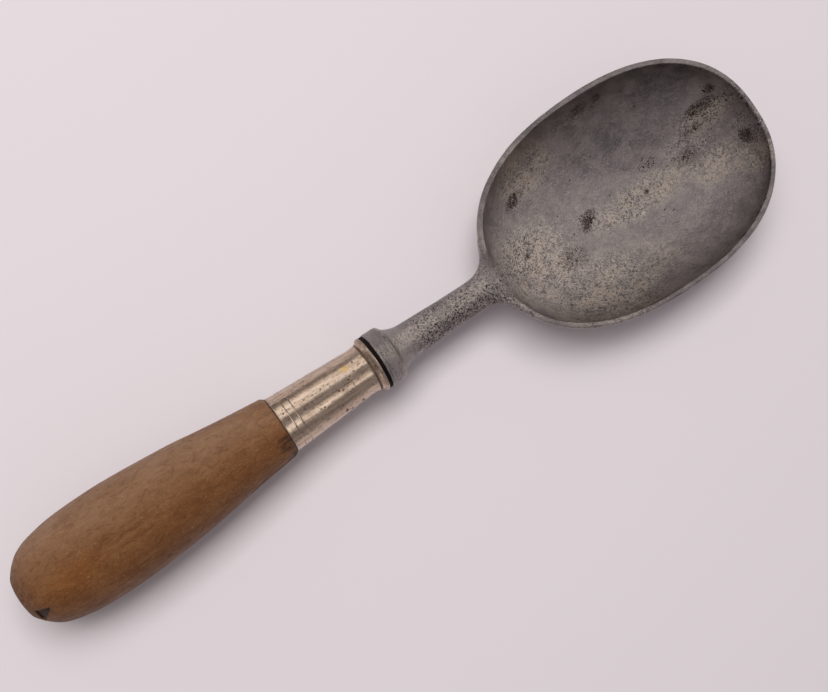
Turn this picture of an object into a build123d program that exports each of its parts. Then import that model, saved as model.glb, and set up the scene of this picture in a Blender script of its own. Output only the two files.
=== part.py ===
"""Serving spoon for ice cream: a cast aluminium bowl and neck on a turned wooden handle.

The spoon lies bowl up on a table. +X points from the butt of the handle to the tip of the bowl,
+Z is up, and the table is z = 0, which the bowl's foot and the handle's belly both touch.
The origin is on the table, under the middle of the length. The shapes are drawn with x measured
from the butt and moved to that origin as they are written. Sizes are millimetres.
"""
from build123d import *
import math
import os

# ---- handle, turned wood ----
handle_length = 90.0          # butt to the shoulder that the ferrule butts on
belly_diameter = 32.0         # thickest place of the handle
belly_from_butt = 31.0
butt_flat_diameter = 13.0     # flat end of the handle
shoulder_diameter = 20.9      # wood just behind the ferrule
shoulder_chamfer = 1.4        # length of the bevel at the shoulder
shoulder_chamfer_drop = 0.7   # radius lost over the bevel
spigot_gap = 2.3              # the spigot ends this far short of the ferrule's throat

# ---- ferrule, nickel-plated brass ----
ferrule_length = 34.9
ferrule_wall = 0.65
ferrule_mouth_diameter = 19.1
ferrule_throat_diameter = 16.0
throat_from_lip = 4.6         # narrowest place, measured back from the lip's end
bead_diameter = 16.6          # swell on each side of the rolled groove
groove_from_lip = 2.0
groove_width = 0.8
groove_depth = 0.5
lip_diameter = 18.9
lip_flat = 0.9                # straight band at the lip's end

# ---- washer, black fibre ----
washer_thickness = 1.2
washer_diameter = 18.7
washer_clearance = 0.2        # between the washer's hole and the tang

# ---- casting: collar, neck and bowl, one piece of aluminium ----
collar_length = 5.8
collar_diameter = 19.2
collar_round = 1.5            # rounding of the collar's front edge
collar_blend = 4.6            # length of the hollow curve from collar to neck
neck_length = 40.2            # collar's front edge to the heel of the bowl
neck_root_diameter = 12.2     # neck at the collar
neck_diameter = 10.6          # neck at the bowl
bowl_length = 107.9
bowl_width = 74.8
bowl_widest_from_heel = 56.4  # past the middle, so the rim is a blunt egg
bowl_squareness = 2.32        # exponent of the rim's oval: 2 is an ellipse
rim_above_neck = 0.3          # rim over the top of the neck where the two join
rim_rise = 4.8                # the rim climbs this much from the heel to the tip
rim_width = 1.8               # wall at the rim
rim_round = 0.55              # rounding of both edges of the rim
floor_thickness = 2.2
bowl_fullness = 1.8           # how long the wall stays steep before it turns to the floor
bowl_roundness = 0.6          # how gently the wall runs out into the floor
bowl_lean = 1.5               # the foot sits this far past the widest place, towards the tip
foot_share = 0.2              # flat foot under the bowl, as a share of the rim's oval
fairing_length = 11.5         # the round neck begins to spread this far before the heel
fairing_reach = 8.0           # and ends this far inside the bowl
fairing_width = 34.0          # of its far end
fairing_height = 6.0
fairing_rise = 2.5            # its far end lies this much above the neck's axis

# ---- tang, steel rod cast into the neck ----
tang_diameter = 6.0
tang_in_handle = 62.0         # beyond the washer, back into the handle
tang_in_casting = 20.0

# ---- derived places ----
axis_height = belly_diameter / 2
ferrule_end = handle_length + ferrule_length
throat = ferrule_end - throat_from_lip
spigot_end = throat - spigot_gap
collar_start = ferrule_end + washer_thickness
collar_end = collar_start + collar_length
heel = collar_end + neck_length
bowl_widest = heel + bowl_widest_from_heel
overall_length = heel + bowl_length
tang_start = ferrule_end - tang_in_handle
tang_end = collar_start + tang_in_casting
rim_height_heel = axis_height + neck_diameter / 2 + rim_above_neck
rim_height_tip = rim_height_heel + rim_rise

# ---- shapes of the curves, as shares of the sizes above ----
BUTT_CURVE = ((0.18, 0.6), (0.45, 0.89))   # share of the way to the belly, and of its swell
WAIST = (0.45, 0.31)                       # share of the way to the shoulder, and of its drop
BUTT_SLOPE = (0.45, 1)                     # directions of the handle's outline at its ends
SHOULDER_SLOPE = (1, -0.09)
COLLAR_EDGE = 0.55                         # share of its rounding that the collar's edge drops
LEAN_POWER = 1.5                           # how late the bowl's sections move towards the foot
OVAL_POINTS = 32
LEVELS = (0.0, 0.22, 0.42, 0.6, 0.75, 0.87, 0.95, 1.0)
FAIRING_STEPS = ((0.0, 0.0, 0.0), (0.35, 0.02, 0.05), (0.7, 0.44, 0.5), (1.0, 1.0, 1.0))


def turned(profile_wire):
    """Solid of revolution about the spoon's axis, from a closed outline of length and radius."""
    solid = revolve(make_face(profile_wire), axis=Axis.X, revolution_arc=360)
    return Pos(0, 0, axis_height) * solid


def round_bar(diameter, start, end):
    """Straight round bar along the axis."""
    bar = Plane.YZ.offset(start) * Circle(diameter / 2)
    return Pos(0, 0, axis_height) * extrude(bar, end - start)


def ferrule_bore(x):
    """Inner radius of the ferrule's tapered length at x."""
    share = (x - handle_length) / (throat - handle_length)
    outer = ferrule_mouth_diameter + share * (ferrule_throat_diameter - ferrule_mouth_diameter)
    return outer / 2 - ferrule_wall


def build_handle():
    """Pear-shaped handle with a flat butt, a bevelled shoulder and a tapered spigot."""
    belly = belly_diameter / 2
    butt = butt_flat_diameter / 2
    shoulder = shoulder_diameter / 2
    bevel_start = handle_length - shoulder_chamfer
    swell = [(belly_from_butt * x, butt + (belly - butt) * rise) for x, rise in BUTT_CURVE]
    waist = belly_from_butt + WAIST[0] * (bevel_start - belly_from_butt)
    back = Spline(
        (0, butt),
        *swell,
        (belly_from_butt, belly),
        tangents=[BUTT_SLOPE, (1, 0)],
    )
    front = Spline(
        (belly_from_butt, belly),
        (waist, belly - WAIST[1] * (belly - shoulder)),
        (bevel_start, shoulder),
        tangents=[(1, 0), SHOULDER_SLOPE],
    )
    rest = Polyline(
        (bevel_start, shoulder),
        (handle_length, shoulder - shoulder_chamfer_drop),
        (handle_length, ferrule_bore(handle_length)),
        (spigot_end, ferrule_bore(spigot_end)),
        (spigot_end, 0),
        (0, 0),
        (0, butt),
    )
    return turned(back + front + rest) - round_bar(tang_diameter, tang_start, spigot_end)


def build_ferrule():
    """Thin tapered tube with a rolled groove and a flared lip."""
    groove_end = ferrule_end - groove_from_lip
    groove_start = groove_end - groove_width
    outer = [
        (handle_length, ferrule_mouth_diameter / 2),
        (throat, ferrule_throat_diameter / 2),
        (groove_start, bead_diameter / 2),
        (groove_start + groove_width / 2, bead_diameter / 2 - groove_depth),
        (groove_end, bead_diameter / 2),
        (ferrule_end - lip_flat, lip_diameter / 2),
        (ferrule_end, lip_diameter / 2),
    ]
    inner = [(x, radius - ferrule_wall) for x, radius in outer]
    outline = outer + inner[::-1] + outer[:1]
    return turned(Polyline(*outline))


def build_washer():
    """Flat ring between the ferrule's lip and the collar."""
    hole = tang_diameter + 2 * washer_clearance
    ring = round_bar(washer_diameter, ferrule_end, collar_start)
    return ring - round_bar(hole, ferrule_end, collar_start)


def build_tang():
    """Plain steel rod from the handle into the neck."""
    return round_bar(tang_diameter, tang_start, tang_end)


def oval(size, inset, middle, height_at_heel, height_at_tip):
    """Squarish closed egg on a plane that climbs evenly from the heel to the tip."""
    to_heel = size * (bowl_widest_from_heel - inset)
    to_tip = size * (bowl_length - bowl_widest_from_heel - inset)
    half_width = size * (bowl_width / 2 - inset)
    power = 2 / bowl_squareness
    climb = (height_at_tip - height_at_heel) / bowl_length
    points = []
    for i in range(OVAL_POINTS):
        angle = 2 * math.pi * (i + 0.5) / OVAL_POINTS
        c = math.cos(angle)
        s = math.sin(angle)
        x = middle + (to_tip if c > 0 else -to_heel) * abs(c) ** power
        y = half_width * math.copysign(abs(s) ** power, s)
        points.append((x, y, height_at_heel + climb * (x - heel)))
    return make_face(Spline(*points, periodic=True))


def bowl_solid(inset, bottom):
    """Filled bowl: ovals that shrink and level out from the rim to the flat at the bottom."""
    rings = []
    for level in LEVELS:
        taper = (1 - level ** bowl_fullness) ** bowl_roundness
        size = foot_share + (1 - foot_share) * taper
        middle = bowl_widest + bowl_lean * level ** LEAN_POWER
        at_heel = rim_height_heel + level * (bottom - rim_height_heel)
        at_tip = rim_height_tip + level * (bottom - rim_height_tip)
        rings.append(oval(size, inset, middle, at_heel, at_tip))
    return loft(rings)


def build_shell():
    """Bowl alone, with both edges of its rim rounded."""
    outside = bowl_solid(0, 0)
    shell = outside - bowl_hollow()
    rim = shell.faces().sort_by(Axis.Z)[-1]
    return fillet(rim.edges(), rim_round)


def bowl_hollow():
    """Space inside the bowl, up to the plane of the rim."""
    return bowl_solid(rim_width, floor_thickness)


def build_neck():
    """Collar and neck, turned about the axis, with a hollow curve between them."""
    collar = collar_diameter / 2
    root = neck_root_diameter / 2
    slim = neck_diameter / 2
    flat_end = collar_end - collar_round
    end = heel - fairing_length
    shape = Spline(
        (flat_end, collar),
        (collar_end, collar - COLLAR_EDGE * collar_round),
        (collar_end + collar_blend, root),
        (end, slim),
        tangents=[(1, 0), (1, 0)],
    )
    rest = Polyline(
        (end, slim),
        (end, 0),
        (collar_start, 0),
        (collar_start, collar),
        (flat_end, collar),
    )
    return turned(shape + rest)


def build_fairing():
    """Flare in which the round neck spreads and climbs into the heel of the bowl."""
    start = heel - fairing_length
    length = fairing_length + fairing_reach
    sections = []
    for along, spread, climb in FAIRING_STEPS:
        width = neck_diameter + spread * (fairing_width - neck_diameter)
        height = neck_diameter + climb * (fairing_height - neck_diameter)
        origin = (start + along * length, 0, axis_height + climb * fairing_rise)
        plane = Plane(origin=origin, x_dir=(0, 1, 0), z_dir=(1, 0, 0))
        sections.append(plane * Ellipse(width / 2, height / 2))
    return loft(sections)


def build_casting():
    """Collar, neck and bowl in one aluminium casting, bored for the tang."""
    casting = build_shell() + (build_neck() + build_fairing() - bowl_hollow())
    return casting - round_bar(tang_diameter, collar_start, tang_end)


def main():
    os.makedirs("parts", exist_ok=True)
    pieces = {
        "handle": build_handle(),
        "ferrule": build_ferrule(),
        "washer": build_washer(),
        "tang": build_tang(),
        "bowl_casting": build_casting(),
    }
    for name, shape in pieces.items():
        piece = Pos(-overall_length / 2, 0, 0) * shape
        export_step(piece, f"parts/{name}.step")
        size = piece.bounding_box()
        print(name, len(piece.solids()), round(piece.volume, 1), size.min, size.max)
    print("overall length", overall_length)


main()
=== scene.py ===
"""Builds the look of a cast aluminium ice cream spoon with a turned wooden handle."""
import logging
import math
from dataclasses import dataclass, field
from enum import Enum
from typing import Any, Callable, Sequence

import bmesh
import bpy
import numpy as np
from mathutils import Matrix, Vector


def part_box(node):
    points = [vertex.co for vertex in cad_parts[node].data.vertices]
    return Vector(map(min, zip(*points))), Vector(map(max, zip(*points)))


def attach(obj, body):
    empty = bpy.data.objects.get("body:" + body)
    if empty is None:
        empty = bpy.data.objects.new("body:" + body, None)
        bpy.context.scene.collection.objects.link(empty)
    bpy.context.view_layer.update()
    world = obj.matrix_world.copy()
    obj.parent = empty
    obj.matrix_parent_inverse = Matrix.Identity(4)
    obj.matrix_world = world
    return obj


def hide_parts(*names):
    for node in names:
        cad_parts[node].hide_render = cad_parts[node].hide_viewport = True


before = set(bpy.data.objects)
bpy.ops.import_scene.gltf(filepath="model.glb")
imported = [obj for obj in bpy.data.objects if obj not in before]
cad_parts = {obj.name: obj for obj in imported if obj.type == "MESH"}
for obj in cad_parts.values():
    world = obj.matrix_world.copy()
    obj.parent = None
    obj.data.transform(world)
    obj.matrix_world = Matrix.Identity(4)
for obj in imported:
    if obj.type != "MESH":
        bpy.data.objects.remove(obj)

logging.basicConfig(level=logging.INFO, format="%(levelname)s %(message)s")
LOG = logging.getLogger("spoon")

MM = 0.001
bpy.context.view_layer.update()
BODY = "root"
Triple = tuple[float, float, float]
Outline = list[tuple[float, float]]


class Slot(Enum):
    """Material slots of the record."""

    ALUMINIUM = "cast_aluminium"
    FIBRE = "black_fibre"
    NICKEL = "nickel_plate"
    WOOD = "handle_wood"


class Mark(Enum):
    """Named point attributes that carry local wear, painted sheen, painted highlights and painted
    shade from a mesh to its finish.
    """

    PAINTED_SHEEN = "painted_sheen"
    DARK_MARKS_AND_SHADE = "dark_marks_and_shade"
    PIT = "pit"
    PITTING = "pitting"
    GRIME_AND_SHADE = "grime_and_shade"
    BRIGHT_PATCHES_AND_HIGHLIGHT = "bright_patches_and_highlight"
    TURNED = "turned"


@dataclass(frozen=True)
class Places:
    """Where the CAD pieces lie along the spoon, in millimetres from the butt of the handle."""

    butt: float
    shoulder: float
    spigot_end: float
    lip: float
    collar: float
    tip: float
    axis_height: float
    bowl_half_width: float

    @classmethod
    def from_frame(cls) -> "Places":
        """Reads the places from the boxes of the CAD nodes.

        Returns:
            The places.
        """
        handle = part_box("handle")
        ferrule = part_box("ferrule")
        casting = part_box("bowl_casting")
        start = handle[0].x

        def along(x: float) -> float:
            """Distance of x from the butt, in millimetres."""
            return (x - start) / MM

        return cls(
            butt=start / MM,
            shoulder=along(ferrule[0].x),
            spigot_end=along(handle[1].x),
            lip=along(ferrule[1].x),
            collar=along(casting[0].x),
            tip=along(casting[1].x),
            axis_height=(ferrule[0].z + ferrule[1].z) / 2 / MM,
            bowl_half_width=(casting[1].y - casting[0].y) / 2 / MM,
        )


PLACES = Places.from_frame()


# ---------------------------------------------------------------- small shared maths


def smoothstep(low: float, high: float, value: Any) -> Any:
    """Smooth rise from 0 at low to 1 at high.

    Args:
        low: Value where the rise begins.
        high: Value where it ends.
        value: Number or array to map.

    Returns:
        The eased share, the same shape as value.
    """
    share = np.clip((np.asarray(value, float) - low) / (high - low), 0.0, 1.0)
    return share * share * (3.0 - 2.0 * share)


def soft_lower(first: Any, second: Any, blend: Any) -> Any:
    """Lower of two heights with the crossing rounded.

    Args:
        first: Heights of one surface.
        second: Heights of the other surface.
        blend: Width of the rounding.

    Returns:
        The rounded lower surface.
    """
    width = np.maximum(blend, 1e-6)
    share = np.clip(0.5 + 0.5 * (second - first) / width, 0.0, 1.0)
    return second + (first - second) * share - width * share * (1.0 - share)


def soft_upper(first: Any, second: Any, blend: Any) -> Any:
    """Upper of two heights with the crossing rounded."""
    return -soft_lower(-np.asarray(first), -np.asarray(second), blend)


def curve_through(points: Outline, step: float) -> Outline:
    """Smooth outline through a few points.

    Args:
        points: Places the outline passes through, as distance and radius.
        step: Greatest distance between two returned points.

    Returns:
        Points of a centripetal Catmull-Rom curve.
    """
    knots = [np.array(p, float) for p in points]
    knots = [2 * knots[0] - knots[1]] + knots + [2 * knots[-1] - knots[-2]]
    result = []
    for k in range(1, len(knots) - 2):
        p0, p1, p2, p3 = knots[k - 1:k + 3]
        t1 = max(np.linalg.norm(p1 - p0), 1e-9) ** 0.5
        t2 = t1 + max(np.linalg.norm(p2 - p1), 1e-9) ** 0.5
        t3 = t2 + max(np.linalg.norm(p3 - p2), 1e-9) ** 0.5
        count = max(2, int(math.ceil(np.linalg.norm(p2 - p1) / step)))
        for i in range(count):
            t = t1 + (t2 - t1) * i / count
            a1 = (t1 - t) / t1 * p0 + t / t1 * p1
            a2 = (t2 - t) / (t2 - t1) * p1 + (t - t1) / (t2 - t1) * p2
            a3 = (t3 - t) / (t3 - t2) * p2 + (t - t2) / (t3 - t2) * p3
            b1 = (t2 - t) / t2 * a1 + t / t2 * a2
            b2 = (t3 - t) / (t3 - t1) * a2 + (t - t1) / (t3 - t1) * a3
            point = (t2 - t) / (t2 - t1) * b1 + (t - t1) / (t2 - t1) * b2
            result.append((float(point[0]), float(point[1])))
    result.append(tuple(map(float, knots[-2])))
    return result


def corner(centre: tuple[float, float], radius: float, start: float, end: float,
           count: int = 6) -> Outline:
    """Arc of an outline.

    Args:
        centre: Centre of the arc, as distance and radius from the axis.
        radius: Radius of the arc.
        start: First angle in degrees, 0 along the axis and 90 outwards.
        end: Last angle in degrees.
        count: Number of steps.

    Returns:
        Points of the arc.
    """
    points = []
    for i in range(count + 1):
        angle = math.radians(start + (end - start) * i / count)
        points.append((centre[0] + radius * math.cos(angle), centre[1] + radius * math.sin(angle)))
    return points


def straight(start: tuple[float, float], end: tuple[float, float], step: float) -> Outline:
    """Evenly spaced points of a straight stretch, without its end.

    Args:
        start: First point, as distance and radius.
        end: Point where the stretch stops.
        step: Greatest distance between two points.

    Returns:
        The points.
    """
    length = math.dist(start, end)
    count = max(1, int(math.ceil(length / step)))
    return [
        (start[0] + (end[0] - start[0]) * i / count, start[1] + (end[1] - start[1]) * i / count)
        for i in range(count)
    ]


# ---------------------------------------------------------------- material building


class Shader:
    """Node tree of one finish, with short methods for the nodes that the finishes use."""

    def __init__(self, name: str) -> None:
        """Starts an empty material with a Principled shader.

        Args:
            name: Name of the material.
        """
        self.material = bpy.data.materials.new(name)
        self.material.use_nodes = True
        self.nodes = self.material.node_tree.nodes
        self.links = self.material.node_tree.links
        self.nodes.clear()
        output = self.nodes.new("ShaderNodeOutputMaterial")
        self.principled = self.nodes.new("ShaderNodeBsdfPrincipled")
        self.links.new(self.principled.outputs["BSDF"], output.inputs["Surface"])
        coordinates = self.nodes.new("ShaderNodeTexCoord")
        self.place = self.scaled(coordinates.outputs["Object"], 1.0 / MM)

    def _feed(self, socket: Any, value: Any) -> None:
        """Links a socket to another one, or sets its value.

        Args:
            socket: Input to feed.
            value: A socket, a number, a vector or a colour.
        """
        if isinstance(value, bpy.types.NodeSocket):
            self.links.new(value, socket)
        elif isinstance(value, (tuple, list)) and len(value) == 3 and socket.type == "RGBA":
            socket.default_value = (*value, 1.0)
        else:
            socket.default_value = value

    def scaled(self, vector: Any, factor: float) -> Any:
        """Vector times a number.

        Args:
            vector: Vector to scale.
            factor: The number.

        Returns:
            The vector socket.
        """
        node = self.nodes.new("ShaderNodeVectorMath")
        node.operation = "SCALE"
        self._feed(node.inputs[0], vector)
        node.inputs["Scale"].default_value = factor
        return node.outputs[0]

    def stretched(self, vector: Any, factors: Triple,
                  shift: Triple = (0.0, 0.0, 0.0)) -> Any:
        """Vector with each axis scaled and moved by its own amount.

        Args:
            vector: Vector to change.
            factors: Factor of each axis.
            shift: Amount added to each axis.

        Returns:
            The vector socket.
        """
        node = self.nodes.new("ShaderNodeVectorMath")
        node.operation = "MULTIPLY_ADD"
        self._feed(node.inputs[0], vector)
        node.inputs[1].default_value = factors
        node.inputs[2].default_value = shift
        return node.outputs[0]

    def noise(self, vector: Any, scale: float, detail: float = 4.0, rough: float = 0.55,
              warp: float = 0.0) -> Any:
        """Fractal noise between 0 and 1.

        Args:
            vector: Coordinates to read.
            scale: Waves per unit.
            detail: Number of octaves.
            rough: Share that each octave keeps.
            warp: Distortion.

        Returns:
            The value socket.
        """
        node = self.nodes.new("ShaderNodeTexNoise")
        self._feed(node.inputs["Vector"], vector)
        node.inputs["Scale"].default_value = scale
        node.inputs["Detail"].default_value = detail
        node.inputs["Roughness"].default_value = rough
        node.inputs["Distortion"].default_value = warp
        return node.outputs["Fac"]

    def span(self, value: Any, low: float, high: float, to_low: float = 0.0,
             to_high: float = 1.0) -> Any:
        """Maps a value from one range to another, smoothly and clamped.

        Args:
            value: Value to map.
            low: Start of the range read.
            high: End of the range read.
            to_low: Result at low.
            to_high: Result at high.

        Returns:
            The value socket.
        """
        node = self.nodes.new("ShaderNodeMapRange")
        node.interpolation_type = "SMOOTHSTEP"
        self._feed(node.inputs["Value"], value)
        node.inputs["From Min"].default_value = low
        node.inputs["From Max"].default_value = high
        node.inputs["To Min"].default_value = to_low
        node.inputs["To Max"].default_value = to_high
        return node.outputs["Result"]

    def maths(self, operation: str, first: Any, second: Any = 0.0) -> Any:
        """Result of a math operation on two values.

        Args:
            operation: Kind of operation.
            first: First value.
            second: Second value.

        Returns:
            The value socket.
        """
        node = self.nodes.new("ShaderNodeMath")
        node.operation = operation
        self._feed(node.inputs[0], first)
        self._feed(node.inputs[1], second)
        return node.outputs[0]

    def times(self, first: Any, second: Any) -> Any:
        """Product of two values."""
        return self.maths("MULTIPLY", first, second)

    def mark(self, which: Mark) -> Any:
        """Value of a wear attribute of the mesh.

        Args:
            which: Attribute to read.

        Returns:
            The value socket.
        """
        node = self.nodes.new("ShaderNodeAttribute")
        node.attribute_name = which.value
        return node.outputs["Fac"]

    def mix(self, share: Any, first: Any, second: Any) -> Any:
        """Colour between two colours.

        Args:
            share: 0 for the first colour, 1 for the second.
            first: First colour.
            second: Second colour.

        Returns:
            The colour socket.
        """
        node = self.nodes.new("ShaderNodeMix")
        node.data_type = "RGBA"
        self._feed(node.inputs[0], share)
        self._feed(node.inputs[6], first)
        self._feed(node.inputs[7], second)
        return node.outputs[2]

    def spot(self, centre: Triple, reach: Triple,
             edge: float = 0.35) -> Any:
        """Soft patch round a place, ragged at its edge.

        Args:
            centre: Middle of the patch in millimetres.
            reach: Half sizes of the patch along the three axes.
            edge: How ragged the edge is.

        Returns:
            A value that is 1 inside the patch and 0 outside.
        """
        factors = tuple(1.0 / r for r in reach)
        shift = tuple(-c / r for c, r in zip(centre, reach))
        local = self.stretched(self.place, factors, shift)
        length = self.nodes.new("ShaderNodeVectorMath")
        length.operation = "LENGTH"
        self.links.new(local, length.inputs[0])
        ragged = self.noise(self.place, 0.8, 5.0, 0.6)
        ragged = self.span(ragged, 0.3, 0.7, -edge, edge)
        distance = self.maths("ADD", length.outputs["Value"], ragged)
        return self.span(distance, 0.55, 1.1, 1.0, 0.0)

    def relief(self, layers: Sequence[tuple[Any, float]]) -> None:
        """Adds bump layers, each a height and its depth in millimetres.

        Args:
            layers: Height and depth of each layer.
        """
        normal = None
        for height, depth in layers:
            node = self.nodes.new("ShaderNodeBump")
            node.inputs["Strength"].default_value = 1.0
            node.inputs["Distance"].default_value = depth * MM
            self._feed(node.inputs["Height"], height)
            if normal is not None:
                self.links.new(normal, node.inputs["Normal"])
            normal = node.outputs["Normal"]
        self.links.new(normal, self.principled.inputs["Normal"])

    def give(self, **values: Any) -> None:
        """Sets or links inputs of the Principled shader by name, with _ for a space."""
        for key, value in values.items():
            self._feed(self.principled.inputs[key.replace("_", " ")], value)


@dataclass(frozen=True)
class CastAluminium:
    """Old dull casting: mottled grey, warm bright patches, dark patches, painted highlights and
    painted shade, with clustered pits.
    """

    dark: Triple = (0.28, 0.25, 0.25)
    plain: Triple = (0.37, 0.33, 0.325)
    warm: Triple = (0.56, 0.475, 0.405)
    light: Triple = (0.66, 0.59, 0.54)
    # dark grey for dark marks and for painted shade
    dark_marks_and_shade: Triple = (0.120, 0.108, 0.110)
    # darkest colour, for dirt, pits and painted shade
    soot_and_shade: Triple = (0.042, 0.026, 0.018)
    metallic: float = 0.95

    def material(self) -> bpy.types.Material:
        """Builds the material.

        Returns:
            The finished material.
        """
        s = Shader("cast aluminium")
        cloud = s.noise(s.place, 0.045, 4.0, 0.55, 0.6)
        blotch = s.noise(s.place, 0.16, 5.0, 0.62, 0.3)
        worm = s.noise(s.place, 0.62, 6.0, 0.74, 1.4)
        elsewhere = s.stretched(s.place, (1.0, 1.0, 1.0), (31.0, 7.0, 3.0))
        fleck = s.noise(elsewhere, 0.95, 5.0, 0.7, 1.8)
        base = s.mix(s.span(blotch, 0.36, 0.66), self.dark, self.plain)
        # warm bright patches in the bowl, plus a painted highlight on the neck's crest and the
        # collar's front edge
        bright_patches_and_highlight = s.mark(Mark.BRIGHT_PATCHES_AND_HIGHLIGHT)
        warmth = s.times(s.span(blotch, 0.34, 0.62, 0.35, 1.0), bright_patches_and_highlight)
        base = s.mix(warmth, base, self.warm)
        # darker patches in the bowl, plus painted shade along the rim and on the neck's flanks
        shade = s.times(s.mark(Mark.DARK_MARKS_AND_SHADE), s.span(blotch, 0.3, 0.66, 1.0, 0.45))
        base = s.mix(shade, base, self.dark_marks_and_shade)
        pits_and_bright_patches = s.maths("MAXIMUM", s.mark(Mark.PITTING), s.times(bright_patches_and_highlight, 0.8))
        etched = s.times(s.span(cloud, 0.36, 0.58, 0.6, 1.0), s.span(pits_and_bright_patches, 0.12, 0.62, 0.30, 1.0))
        base = s.mix(s.times(s.span(worm, 0.495, 0.56, 0.0, 0.85), etched), base, self.dark_marks_and_shade)
        base = s.mix(s.times(s.span(fleck, 0.515, 0.58, 0.0, 0.72), etched), base, self.light)
        rings = s.noise(s.stretched(s.place, (2.6, 0.10, 0.10)), 1.0, 4.0, 0.7)
        rings = s.times(s.span(rings, 0.46, 0.60, 0.0, 0.62), s.mark(Mark.TURNED))
        base = s.mix(rings, base, self.dark_marks_and_shade)
        pitted = s.times(s.mark(Mark.PITTING), 0.17)
        fine = s.noise(s.stretched(s.place, (1.0, 1.0, 1.0), (5.0, 13.0, 0.0)), 1.8, 3.0, 0.6)
        fine = s.span(s.maths("ADD", fine, pitted), 0.68, 0.74)
        pit = s.span(s.mark(Mark.PIT), 0.15, 0.8, 0.0, 0.85)
        # real dirt, and on the casting also a painted shade line inside the rim
        ragged = s.span(s.maths("ADD", s.mark(Mark.GRIME_AND_SHADE), s.span(fleck, 0.40, 0.60, -0.55, 0.25)),
                        0.18, 0.62)
        grime_and_shade = s.times(ragged, s.span(s.mark(Mark.GRIME_AND_SHADE), 0.0, 0.2))
        dirt_and_shade = s.maths("MAXIMUM", s.maths("MAXIMUM", fine, pit), grime_and_shade)
        base = s.mix(s.times(dirt_and_shade, 0.92), base, self.soot_and_shade)
        rough = s.span(blotch, 0.3, 0.7, 0.31, 0.44)
        rough = s.maths("ADD", rough, s.times(dirt_and_shade, 0.25))
        lathe = s.noise(s.stretched(s.place, (4.0, 0.05, 0.05)), 1.0, 3.0, 0.6)
        lathe = s.times(lathe, s.mark(Mark.TURNED))
        s.give(Base_Color=base, Roughness=rough, Metallic=self.metallic)
        s.relief([(blotch, 0.22), (worm, 0.30), (fleck, 0.12), (lathe, 0.35),
                  (s.times(fine, -1.0), 0.10)])
        return s.material


@dataclass(frozen=True)
class HandleWood:
    """Dry, worn turned wood: fine mottled grain, a painted sheen that greys one side, warm on the
    other.
    """

    pale: Triple = (0.205, 0.086, 0.028)
    brown: Triple = (0.145, 0.052, 0.013)
    deep: Triple = (0.075, 0.022, 0.005)
    # grey tan of the painted sheen on the lit side
    painted_sheen: Triple = (0.26, 0.150, 0.086)
    fleck: Triple = (0.40, 0.23, 0.115)
    warm: Triple = (0.25, 0.085, 0.014)
    soot_and_shade: Triple = (0.024, 0.009, 0.004)

    def material(self) -> bpy.types.Material:
        """Builds the material.

        Returns:
            The finished material.
        """
        s = Shader("handle wood")
        figure = s.noise(s.stretched(s.place, (0.10, 1.0, 1.0)), 0.35, 4.0, 0.6, 0.8)
        cloud = s.noise(s.stretched(s.place, (0.6, 1.0, 1.0)), 0.075, 4.0, 0.6, 0.5)
        mottle = s.noise(s.stretched(s.place, (0.5, 1.0, 1.0)), 0.55, 6.0, 0.72, 1.0)
        hair = s.noise(s.stretched(s.place, (0.45, 1.0, 1.0), (3.0, 9.0, 1.0)), 0.7, 3.0, 0.6, 2.2)
        hair = s.span(s.maths("ABSOLUTE", s.maths("SUBTRACT", hair, 0.5)), 0.0, 0.022, 1.0, 0.0)
        speck = s.noise(s.stretched(s.place, (0.7, 1.0, 1.0), (1.0, 4.0, 8.0)), 1.3, 3.0, 0.6)
        base = s.mix(s.span(figure, 0.34, 0.68), self.brown, self.pale)
        base = s.mix(s.span(cloud, 0.38, 0.66, 0.0, 0.75), base, self.brown)
        # painted sheen: the left side, which faces the lamps, is greyed and lightened
        worn = s.times(s.mark(Mark.PAINTED_SHEEN), s.span(cloud, 0.3, 0.6, 0.95, 0.55))
        base = s.mix(worn, base, self.painted_sheen)
        base = s.mix(s.span(mottle, 0.48, 0.66, 0.0, 0.40), base, self.deep)
        light = s.times(hair, s.span(mottle, 0.40, 0.60, 0.55, 0.05))
        warm = s.spot((PLACES.butt + 18.0, -2.5, 31.0), (9.0, 5.5, 6.0), 0.5)
        base = s.mix(s.times(warm, 0.28), base, self.warm)
        end = s.spot((PLACES.butt, 0.0, PLACES.axis_height), (5.0, 13.0, 13.0), 0.5)
        base = s.mix(s.times(end, 0.5), base, self.deep)
        base = s.mix(light, base, self.fleck)
        base = s.mix(s.span(speck, 0.66, 0.74, 0.0, 0.6), base, self.deep)
        grime_and_shade = s.mark(Mark.GRIME_AND_SHADE)
        ragged = s.maths("ADD", grime_and_shade, s.span(mottle, 0.35, 0.65, -0.22, 0.22))
        dirt_and_shade = s.times(s.span(ragged, 0.15, 0.75), s.span(grime_and_shade, 0.0, 0.15))
        dirt_and_shade = s.maths("MAXIMUM", s.span(s.mark(Mark.PIT), 0.1, 0.8, 0.0, 0.5), dirt_and_shade)
        base = s.mix(s.times(dirt_and_shade, 0.93), base, self.soot_and_shade)
        rough = s.span(mottle, 0.3, 0.7, 0.48, 0.62)
        s.give(Base_Color=base, Roughness=rough, Specular_IOR_Level=0.28)
        s.relief([(figure, 0.05), (mottle, 0.12), (hair, 0.012)])
        return s.material


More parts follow.
